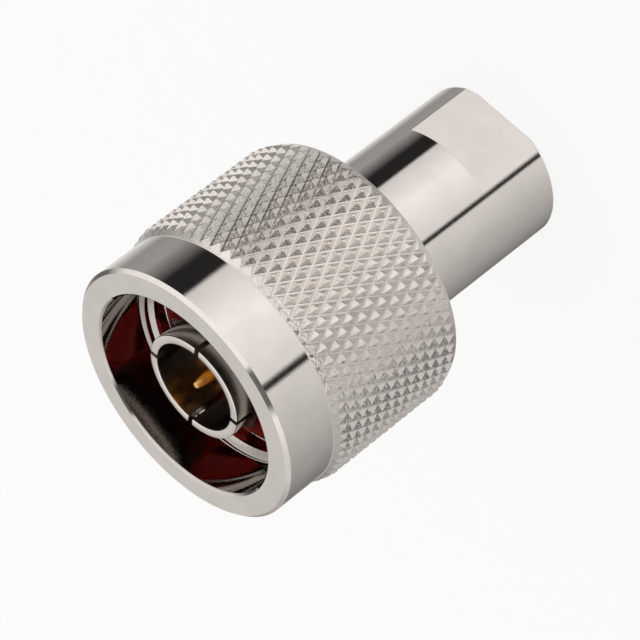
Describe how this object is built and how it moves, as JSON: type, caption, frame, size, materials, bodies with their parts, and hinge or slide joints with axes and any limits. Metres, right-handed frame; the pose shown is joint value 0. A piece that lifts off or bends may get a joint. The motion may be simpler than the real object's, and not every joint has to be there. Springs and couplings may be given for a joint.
{
  "type": "n type coaxial plug adapter",
  "caption": "N type coaxial plug with a diamond knurled coupling nut on a straight barrel with wrench flats and a small threaded socket behind.",
  "frame": {"origin": "centre of the rear end face, on which the plug stands", "axes": "+Z along the plug's axis towards its mouth; the two wrench flats face +X and -X"},
  "size_m": [0.021, 0.021, 0.0311],
  "materials": {
    "nut_nickel": "bright nickel plate on turned brass, diamond knurled",
    "barrel_nickel": "bright nickel plate on turned brass, milled flats",
    "sleeve_nickel": "bright nickel plate on slotted bronze",
    "gold_plate": "gold plate, polished",
    "ptfe": "waxy white PTFE",
    "silicone": "satin red silicone",
    "spring_bronze": "drawn spring wire"
  },
  "bodies": {
    "connector": {"body": "barrel_nickel", "outer_contact": "sleeve_nickel", "front_insulator": "ptfe", "rear_insulator": "ptfe", "centre_contact": "gold_plate", "face_gasket": "silicone", "retaining_ring": "spring_bronze"},
    "nut": {"coupling_nut": "nut_nickel"}
  },
  "joints": [
    {"name": "nut_turn", "type": "hinge", "parent": "connector", "child": "nut", "pos_m": [0, 0, 0.0165], "axis": [0, 0, 1], "continuous": true}
  ]
}
